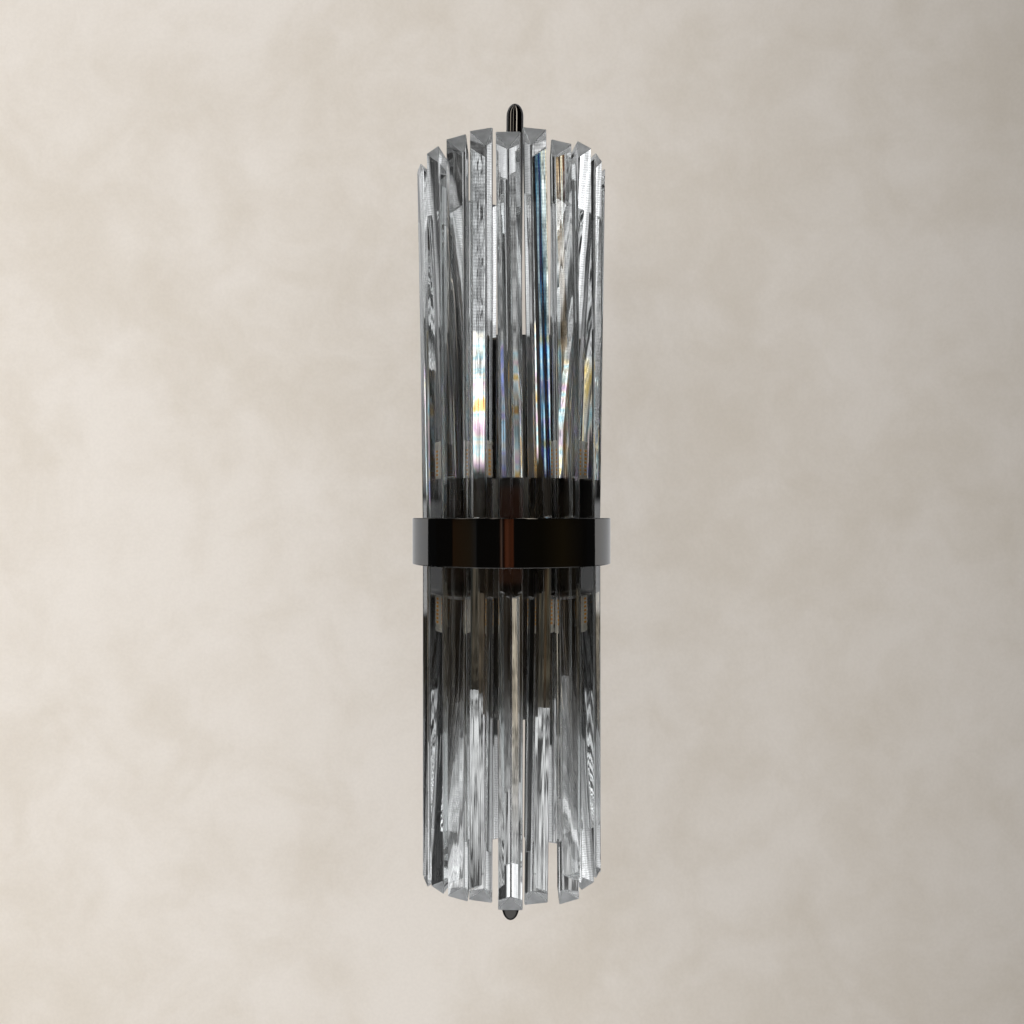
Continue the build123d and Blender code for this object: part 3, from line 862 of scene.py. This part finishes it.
class SCONCE_OT_backplate(bpy.types.Operator):
    """Fold the polished backplate tray that covers the wall bracket"""
    bl_idname = "sconce.backplate"
    bl_label = "Backplate"
    bl_options = {"REGISTER", "UNDO"}

    def execute(self, context):
        sheet, screw_depth = 0.0015, -0.009
        plate = block("polished_backplate", plate_low, plate_high)
        pick_edges(plate, lambda a, b: abs(a.y - b.y) > 0.01)
        bpy.ops.mesh.bevel(offset=0.003, segments=6, affect="EDGES")
        bevel_rim(plate, 1, plate_low.y, 0.002, 5)
        pick_faces(plate, lambda centre, normal: normal.y > 0.9)
        bpy.ops.mesh.delete(type="FACE")
        finish_edit(plate)
        apply(plate, "SOLIDIFY", thickness=sheet, offset=-1)
        clear_selection()
        bpy.ops.mesh.primitive_cylinder_add(
            vertices=48, radius=0.0051, depth=0.012,
            location=(0, plate_low.y, arm_height), rotation=(math.pi / 2, 0, 0))
        arm_cutter = settle("arm_cutter")
        screw_cutter = cylinder(
            "screw_cutter", SCREW_HOLE, plate_low.z - 0.01, plate_high.z + 0.01, (0, screw_depth), 24)
        cut_away(plate, (arm_cutter, screw_cutter))
        only(plate)
        bpy.ops.object.shade_smooth_by_angle(angle=math.radians(35))
        true_normals(plate)
        plate.data.materials.append(nickel_finish("black_nickel_plate", 0.35))
        hand_over(plate, "fixture", "black_nickel", "backplate")
        return {"FINISHED"}


class SCONCE_OT_hardware(bpy.types.Operator):
    """Give the drum, the lamp holders and the fixings their finishes"""
    bl_idname = "sconce.hardware"
    bl_label = "Drum and fixings"
    bl_options = {"REGISTER", "UNDO"}

    def execute(self, context):
        drum = drum_finish()
        nickel = nickel_finish("black_nickel_tube", 0.2)
        ceramic = moulded_finish("ceramic", (0.80, 0.78, 0.73), 0.22, 700, 0.5)
        white = moulded_finish("white_plastic", (0.80, 0.80, 0.76), 0.42, 1500)
        zinc = steel_finish("zinc_steel", (0.60, 0.61, 0.62), 0.32)
        brass = steel_finish("brass", (0.74, 0.56, 0.26), 0.28, 0.15)
        finishes = {
            "drum": drum, "drum_cover": drum, "arm_tube": nickel, "band_screws": nickel,
            "terminal_block": white, "earth_screw": brass,
            "wall_bracket": zinc, "arm_nuts": zinc, "pan_screws": zinc,
        }
        for number in (1, 2, 3, 4):
            finishes[f"lamp_holder_{number}"] = ceramic
        for name, finish in finishes.items():
            mesh = nodes[name].data
            mesh.materials.clear()
            mesh.materials.append(finish)
        return {"FINISHED"}


# --------------------------------------------------------------------- stage
# colours that crystal throws on a bright window, from one side of a band to the other
WINDOW_COLOURS = (
    (0.30, (1.0, 0.36, 0.06)), (0.38, (1.0, 0.74, 0.24)), (0.45, (1.0, 1.0, 0.95)),
    (0.50, (0.50, 0.88, 1.0)), (0.55, (1.0, 0.98, 0.84)), (0.60, (0.98, 0.66, 0.82)),
    (0.66, (0.42, 0.52, 1.0)), (0.74, (1.0, 0.84, 0.5)),
)
# heights on the wall, in metres: seen through the crystal it is pale above the first and below
# the second and dark between them, and polished metal shows it grey between the last two
PALE_ABOVE, PALE_BELOW = 0.146, -0.152
MIRROR_LOW, MIRROR_HIGH = -0.058, 0.014
SOFT_EDGE = 0.003


def plaster_seen(f, here, x, z):
    """The mottled plaster with painted light: paler towards the left and darker towards the right and the
    top, as the light falls, with a faint relief.
    """
    colour = bpy.context.scene.sconce_stage.plaster
    cloud = f.noise(here, 3.4, 6.0, 0.6, 0.6)
    fine = f.noise(here, 19, 6.0, 0.65, 0.4)
    grain = f.noise(here, 420, 2.0, 0.5)
    pale = tuple(min(1.0, c * k) for c, k in zip(colour, (1.05, 1.055, 1.07)))
    dim = tuple(c * k for c, k in zip(colour, (0.93, 0.915, 0.89)))
    plaster = f.blend(f.ramp(cloud * 0.6 + fine * 0.4, 0.36, 0.62), dim, pale)
    # painted light: the wall is brighter on the left, darker to the right and a little darker towards the
    # top, as the soft light falls, times a fine grain
    across = f.ramp(x, -0.38, 0.05, 1.15, 0.97, soft=False) * f.ramp(x, 0.05, 0.38, 1.0, 0.66, soft=False)
    across = across * f.ramp(z, 0.05, 0.36, 1.0, 0.95, soft=False) * f.ramp(grain, 0.3, 0.7, 0.985, 1.015)
    seen = f.blend(1.0, plaster, f.grey(across), "MULTIPLY")
    lit = f.surface(
        Base_Color=seen, Roughness=0.85, Specular_IOR_Level=0.2,
        Normal=f.bump(fine * 0.6 + grain * 0.1, 0.0006, 0.25))
    # for the eye the wall mostly glows with this painted light, and the lamps light it only for the rest
    return f.either(f.ray("Is Camera Ray") * 0.72, lit, f.glow(seen))


def wall_in_crystal(f, here, x, z):
    """The woven and streaked wall that crystal shows, and the even grey that metal shows."""
    weave = f.node("ShaderNodeTexWave", {"wave_type": "BANDS", "bands_direction": "Z"}, {
        "Vector": here, "Scale": 175.0, "Distortion": 2.0, "Detail": 2.0, "Detail Scale": 2.0}, output=1)
    pebble = f.noise(here, 300, 2.0, 0.6)
    streak = f.noise(f.mapped(here, (1.0, 1.0, 0.02)), 210, 3.0, 0.7)
    stripe = f.noise(f.mapped(here, (1.0, 1.0, 0.01)), 38, 1.0, 0.5)
    lines = f.ramp(streak, 0.36, 0.66, 0.45, 1.5, soft=False)
    lines = lines * f.ramp(stripe, 0.455, 0.555, 0.06, 2.1, soft=False)
    texture = f.ramp(weave * 0.35 + pebble * 0.65, 0.25, 0.75, 0.72, 1.28, soft=False)
    above_band = f.ramp(z, 0.0, 0.02)

    # a bright window towards the left, a narrow bright strip beside it, and the pale wall above
    window = f.ramp(x, -0.135, -0.15) * above_band * f.ramp(z, PALE_ABOVE + SOFT_EDGE, PALE_ABOVE)
    strip = f.between(x, -0.080, -0.073, -0.052, -0.047) * above_band
    above = f.ramp(z, PALE_ABOVE, PALE_ABOVE + SOFT_EDGE) * 0.31 + window * 0.5 + strip * 0.42
    pale_end = PALE_BELOW - SOFT_EDGE
    below = f.ramp(z, PALE_BELOW, pale_end) * f.ramp(z, pale_end, -0.36, 0.26, 0.66)
    through = (above + below) * texture * lines + 0.018 * lines

    inside = f.between(x, -0.387, -0.383, 0.383, 0.387)
    even = f.between(z, MIRROR_LOW - 0.008, MIRROR_LOW, MIRROR_HIGH, MIRROR_HIGH + 0.008)
    even = even * f.ramp(pebble, 0.3, 0.7, 0.54, 0.60)
    mirrored = inside * (even + f.ramp(z, 0.016, 0.03) * 0.25 * lines) + 0.012

    crystal = f.clamp(f.ray("Is Transmission Ray"))
    level = through * crystal + mirrored * (1.0 - crystal)
    grey = f.node("ShaderNodeCombineColor", inputs={0: level * 0.99, 1: level, 2: level * 1.01})
    drift = f.noise(f.place((1.0, 1.0, 0.8)), 17, 2.0, 0.5, 0.5)
    bands = f.node("ShaderNodeValToRGB", {"stops": WINDOW_COLOURS}, {0: drift})
    return f.glow(f.blend(window * crystal, grey, f.blend(1.0, grey, bands, "MULTIPLY")))


def plaster_wall():
    """Plaster for the eye, its other look for crystal and metal, and nothing from behind."""
    f = Finish("plaster_wall")
    here = f.place()
    x, _, z = f.split(here)
    front = f.either(sharp_ray(f), plaster_seen(f, here, x, z), wall_in_crystal(f, here, x, z))
    behind = f.node("ShaderNodeNewGeometry", output="Backfacing")
    return f.close(f.either(behind, front, f.node("ShaderNodeBsdfTransparent")))


def pale_floor():
    """Plain pale floor with a faint mottle, streaked grey where it is seen through the crystal."""
    f = Finish("pale_floor")
    cloud = f.noise(f.place(), 2.5, 4.0, 0.55)
    tone = f.blend(f.ramp(cloud, 0.35, 0.65), (0.62, 0.60, 0.56), (0.70, 0.68, 0.64))
    lit = f.surface(Base_Color=tone, Roughness=0.8)
    x, y, _ = f.split(f.place())
    fan = f.node("ShaderNodeCombineXYZ", inputs={0: f.maths("ARCTAN2", x, 0.0 - y), 1: y * 0.01, 2: 0.3})
    streak = f.noise(fan, 90.0, 3.0, 0.75)
    crystal = f.ray("Is Transmission Ray")
    level = f.ramp(streak, 0.40, 0.60, 0.04, 0.85, soft=False) * crystal
    level = level + f.ramp(y, -1.9, -1.3, 0.02, 0.36) * (1.0 - crystal)
    return f.close(f.either(sharp_ray(f), lit, f.glow(f.grey(level))))


def sharp_ray(f):
    """1 for what polished metal or crystal shows."""
    return f.clamp(f.ray("Is Glossy Ray") + f.ray("Is Transmission Ray"))


# what the crystal shows of the room, as degrees to the right of straight back and a colour,
# where one number is a grey, once for each height: high, level with the upper tier, and
# level with the lower tier
DARK, BLACK = (0.035, 0.03, 0.026), (0.010, 0.009, 0.008)
HIGH_ROOM = (
    (-90, 0.55), (-66, 0.45), (-57, 0.34), (-42, 0.36), (-36, DARK), (-29.5, 0.25), (-28.8, 1.3),
    (-25, 1.3), (-24.5, DARK), (-17.2, DARK), (-16.9, 0.62), (-16.3, 0.60), (-15.2, 0.52),
    (-14.7, 0.45), (-14.4, DARK), (-3, 0.13), (3, 0.10), (5, BLACK), (22, BLACK),
    (22.6, (0.15, 0.14, 0.13)), (24, (0.15, 0.14, 0.13)), (24.6, (0.05, 0.03, 0.015)),
    (25.98, BLACK), (26.05, (2.1, 2.0, 1.7)), (26.25, (1.9, 2.0, 2.1)), (26.33, BLACK),
    (33, DARK), (36, 0.36), (62, 0.28), (72, 0.12), (90, DARK),
)
UPPER_ROOM = (
    (-90, 1.6), (-64, 1.6), (-60, DARK), (-55, (0.42, 0.42, 0.43)), (-41, (0.42, 0.42, 0.43)),
    (-39, DARK), (-27, BLACK), (-26, 0.9), (-23.6, 0.9), (-23, BLACK), (-17.4, DARK), (-17.0, 1.7),
    (-14.2, 1.6), (-13.9, DARK), (-9, 0.4), (-6, 0.3), (-5.6, BLACK), (1, (0.12, 0.11, 0.10)),
    (2.5, (0.75, 0.8, 0.9)), (4, (0.7, 0.55, 0.4)), (5, BLACK), (25.75, DARK),
    (25.85, (1.7, 1.6, 1.5)), (26.15, (1.6, 1.7, 1.8)), (26.25, BLACK), (31, DARK),
    (32.2, (0.55, 0.5, 0.45)), (44, (0.42, 0.48, 0.6)), (48, DARK), (55, 0.7), (60, 0.6), (90, DARK),
)
LOWER_ROOM = (
    (-90, 0.56), (-84, 0.46), (-74, 0.44), (-72, DARK), (-60, (0.16, 0.15, 0.13)), (-50, BLACK),
    (-38, (0.07, 0.06, 0.05)), (-28.2, (0.09, 0.08, 0.07)), (-27.2, (0.05, 0.045, 0.04)),
    (-26.8, BLACK), (-16, (0.04, 0.035, 0.03)), (-6, BLACK), (6, (0.035, 0.025, 0.015)),
    (20, BLACK), (23.6, (0.02, 0.018, 0.016)), (23.9, (0.08, 0.07, 0.06)),
    (24.6, (0.03, 0.028, 0.026)), (40, DARK), (41.6, (0.055, 0.05, 0.045)), (46, BLACK),
    (70, (0.05, 0.045, 0.04)), (90, BLACK),
)
# what polished metal shows of it
DARK_ROOM = (
    (-90, BLACK), (-70, BLACK), (-69, (0.055, 0.03, 0.015)), (-48, (0.05, 0.035, 0.02)),
    (-40, (0.045, 0.042, 0.04)), (-39, BLACK), (-12.4, BLACK), (-11.6, (0.28, 0.18, 0.14)),
    (-10.6, (0.24, 0.15, 0.11)), (-10.2, (0.03, 0.012, 0.008)), (-7.4, (0.03, 0.012, 0.008)),
    (-7, (0.20, 0.065, 0.03)), (-4, (0.24, 0.08, 0.04)), (-2, (0.14, 0.045, 0.02)),
    (2.3, (0.17, 0.05, 0.022)), (2.7, BLACK), (34, (0.012, 0.010, 0.006)),
    (60, (0.03, 0.022, 0.01)), (90, BLACK),
)
# soft lamps high in the room for the metal: the degrees where each starts, is full, fades and
# ends, and how bright it is
ROOM_LAMPS = (
    ((18.0, 20.0, 29.0, 31.0), 0.85),
    ((-26.0, -24.0, -20.0, -18.0), 0.35),
    ((-70.0, -66.0, -58.0, -54.0), 0.4),
)
# the colours above are held in ramps that end at 1, so they are divided by this and the light
# is as many times stronger
ROOM_GAIN = 3.0
# warm tint of what the lower tier shows, and where the two dark cords hang, in degrees to the left
LOWER_TINT = (0.88, 0.76, 0.60)
CORD_BEARING = 15.72


def azimuth_ramp(f, turn, stops, parting):
    """The colours along the horizon, red and blue parted at every edge as crystal parts them."""
    placed = []
    for degrees, colour in stops:
        levels = colour if isinstance(colour, tuple) else (colour,) * 3
        placed.append(((degrees + 90) / 180, tuple(level / ROOM_GAIN for level in levels)))
    channels = {}
    for number, way in enumerate((1, 0, -1)):
        shade = f.node("ShaderNodeValToRGB", {"stops": placed}, {0: (turn + (90 + way * parting)) / 180})
        channels[number] = f.split(shade, "ShaderNodeSeparateColor")[number]
    return f.node("ShaderNodeCombineColor", inputs=channels)


def cords_and_lines(f, way, turn, rise):
    """Fine lines across, and two dark cords that sway and cross each other."""
    lines = f.node("ShaderNodeTexWave", {"wave_type": "BANDS", "bands_direction": "Z"}, {
        "Vector": way, "Scale": 95.0, "Distortion": 1.2, "Detail": 1.0}, output=1)
    sway = f.maths("SINE", rise * 1.15) * 0.24
    shade = f.ramp(lines, 0.2, 0.8, 0.86, 1.12)
    for side in (1, -1):
        apart = f.maths("ABSOLUTE", turn + CORD_BEARING + sway * side)
        shade = shade * f.ramp(apart, 0.03, 0.08, 0.12, 1.0)
    return f.grey(shade)


def room_in_crystal(f, way, turn, rise):
    """The room as the prisms bend it: bright openings above, dark below, streaked upright."""
    high = azimuth_ramp(f, turn, HIGH_ROOM, 0.08)
    upper = azimuth_ramp(f, turn, UPPER_ROOM, 0.09)
    lower = f.blend(1.0, azimuth_ramp(f, turn, LOWER_ROOM, 0.12), LOWER_TINT, "MULTIPLY")
    drift = f.noise(f.mapped(way, (3.0, 3.0, 15.0)), 2.2, 2.0, 0.5, 0.6)
    bands = f.node("ShaderNodeValToRGB", {"stops": WINDOW_COLOURS}, {0: drift})
    upper = f.blend(0.9, upper, bands, "MULTIPLY")
    high = f.blend(1.0, high, cords_and_lines(f, way, turn, rise), "MULTIPLY")
    streak = f.noise(f.mapped(way, (1.0, 1.0, 0.012)), 170.0, 3.0, 0.75)

    # from one height to the next, in degrees above or below straight back
    view = f.blend(f.ramp(rise, 9.2, 9.6), upper, high)
    view = f.blend(f.ramp(rise, 0.4, 1.8), (0.006, 0.005, 0.004), view)
    view = f.blend(f.ramp(rise, -2.0, -3.2), view, lower)
    view = f.blend(f.ramp(rise, -10.0, -21.0), view, (0.15, 0.15, 0.15))
    return f.blend(1.0, view, f.grey(f.ramp(streak, 0.38, 0.64, 0.25, 1.6, soft=False)), "MULTIPLY")


def room_in_metal(f, turn, rise):
    """A dark room with upright bars level with the band, and soft lamps above."""
    level = f.between(rise, -4.4, -3.9, 0.2, 0.6) + 0.03
    dark = f.blend(1.0, azimuth_ramp(f, turn, DARK_ROOM, 0.1), f.grey(level), "MULTIPLY")
    lamps = sum(f.between(turn, *limits) * bright for limits, bright in ROOM_LAMPS)
    lamps = lamps * f.ramp(rise, 9.0, 14.0)
    warm = f.node("ShaderNodeCombineColor", inputs={0: lamps, 1: lamps * 0.92, 2: lamps * 0.80})
    return f.blend(1.0, dark, warm, "ADD")


def room_light(world):
    """Pale for the eye, even for soft light, and a dark room with bright openings for the rest."""
    f = Finish("room", world)
    way = f.node("ShaderNodeTexCoord", output="Generated")
    x, y, z = f.split(way)
    turn = f.maths("ARCTAN2", x, 0.0 - y) * (180 / math.pi)
    rise = f.maths("ARCSINE", z) * (180 / math.pi)
    soft = f.backdrop((1.0, 0.985, 0.965), 0.5)
    pale = f.backdrop((0.66, 0.63, 0.59), 1.0)
    lit = f.either(f.ray("Is Glossy Ray"), soft, f.backdrop(room_in_metal(f, turn, rise), ROOM_GAIN))
    crystal = f.backdrop(room_in_crystal(f, way, turn, rise), ROOM_GAIN)
    lit = f.either(f.ray("Is Transmission Ray"), lit, crystal)
    f.close(f.either(f.ray("Is Camera Ray"), lit, pale))


def soft_lamp(name, place, size, power):
    """A large square light turned to the lamp, which nothing shows."""
    lamp = bpy.data.lights.new(name, "AREA")
    lamp.shape = "SQUARE"
    lamp.size = size
    lamp.energy = power
    lamp.color = (1.0, 0.985, 0.96)
    holder = bpy.data.objects.new(name, lamp)
    holder.location = place
    holder.rotation_euler = (Vector((0, 0, 0)) - Vector(place)).to_track_quat("-Z", "Y").to_euler()
    holder.visible_camera = False
    holder.visible_glossy = False
    holder.visible_transmission = False
    bpy.context.scene.collection.objects.link(holder)


# the photo's width, and how far its optical centre lies from its middle, in pixels
PHOTO_WIDTH = 1024
CENTRE_RIGHT, CENTRE_UP = 0.5, 6
EYE_HEIGHT = 0.00625


def photo_camera(lens, distance):
    """The camera at the photo's place, level with the band."""
    camera = bpy.data.cameras.new("photo_view")
    camera.lens = lens
    camera.sensor_width = 36
    camera.shift_x = CENTRE_RIGHT / PHOTO_WIDTH
    camera.shift_y = CENTRE_UP / PHOTO_WIDTH
    camera.clip_start = 0.01
    camera.clip_end = 50
    eye = bpy.data.objects.new("photo_view", camera)
    eye.location = (0, -distance, EYE_HEIGHT)
    eye.rotation_euler = (math.pi / 2, 0, 0)
    bpy.context.scene.collection.objects.link(eye)
    bpy.context.scene.camera = eye


class SCONCE_OT_stage(bpy.types.Operator):
    """Set the wall, the floor, the soft light and the camera"""
    bl_idname = "sconce.stage"
    bl_label = "Wall, light and camera"
    bl_options = {"REGISTER", "UNDO"}

    def execute(self, context):
        s = context.scene.sconce_stage
        wall_size, wall_gap, wall_middle = 3.2, 0.0003, 0.35
        floor_size, floor_height = 4.0, -0.95
        clear_selection()
        bpy.ops.mesh.primitive_plane_add(
            size=wall_size, location=(0, wall_gap, wall_middle), rotation=(math.pi / 2, 0, 0))
        wall = settle("stage_wall")
        wall.data.materials.append(plaster_wall())
        clear_selection()
        bpy.ops.mesh.primitive_plane_add(size=floor_size, location=(0, -floor_size / 2, floor_height))
        floor = settle("stage_floor")
        floor.data.materials.append(pale_floor())

        soft_lamp("soft_left", (-1.7, -1.5, 1.1), 1.8, s.lamp_power)
        soft_lamp("soft_right", (1.8, -1.9, 0.7), 1.6, s.lamp_power * 0.45)
        world = bpy.data.worlds.new("room")
        bpy.context.scene.world = world
        room_light(world)
        photo_camera(s.lens, s.distance)
        bpy.context.scene.view_settings.view_transform = "Standard"
        cycles = bpy.context.scene.cycles
        cycles.max_bounces = 24
        cycles.transmission_bounces = 24
        cycles.glossy_bounces = 12
        cycles.transparent_max_bounces = 8
        cycles.caustics_refractive = True
        return {"FINISHED"}


class SCONCE_PT_panel(bpy.types.Panel):
    """Sizes, colours and building steps of the wall light"""
    bl_idname = "SCONCE_PT_panel"
    bl_label = "Crystal Wall Sconce"
    bl_space_type = "VIEW_3D"
    bl_region_type = "UI"
    bl_category = "Sconce"

    def draw(self, context):
        scene = context.scene
        for group, steps in (
            (scene.sconce_crystal, ("sconce.crystals",)),
            (scene.sconce_metal, ("sconce.band", "sconce.rods", "sconce.backplate", "sconce.hardware")),
            (scene.sconce_lamp, ("sconce.lamps",)),
            (scene.sconce_stage, ("sconce.stage",)),
        ):
            box = self.layout.box()
            for name in group.__annotations__:
                box.prop(group, name)
            for step in steps:
                box.operator(step)


classes = (
    CrystalSettings, MetalSettings, LampSettings, StageSettings,
    SCONCE_OT_crystals, SCONCE_OT_band, SCONCE_OT_rods, SCONCE_OT_lamps,
    SCONCE_OT_backplate, SCONCE_OT_hardware, SCONCE_OT_stage, SCONCE_PT_panel,
)


def register():
    for item in classes:
        bpy.utils.register_class(item)
    bpy.types.Scene.sconce_crystal = bpy.props.PointerProperty(type=CrystalSettings)
    bpy.types.Scene.sconce_metal = bpy.props.PointerProperty(type=MetalSettings)
    bpy.types.Scene.sconce_lamp = bpy.props.PointerProperty(type=LampSettings)
    bpy.types.Scene.sconce_stage = bpy.props.PointerProperty(type=StageSettings)


def unregister():
    for name in ("sconce_crystal", "sconce_metal", "sconce_lamp", "sconce_stage"):
        delattr(bpy.types.Scene, name)
    for item in reversed(classes):
        bpy.utils.unregister_class(item)


def main():
    register()
    bpy.ops.sconce.crystals()
    bpy.ops.sconce.band()
    bpy.ops.sconce.rods()
    bpy.ops.sconce.lamps()
    bpy.ops.sconce.backplate()
    bpy.ops.sconce.hardware()
    bpy.ops.sconce.stage()


if __name__ == "__main__":
    main()
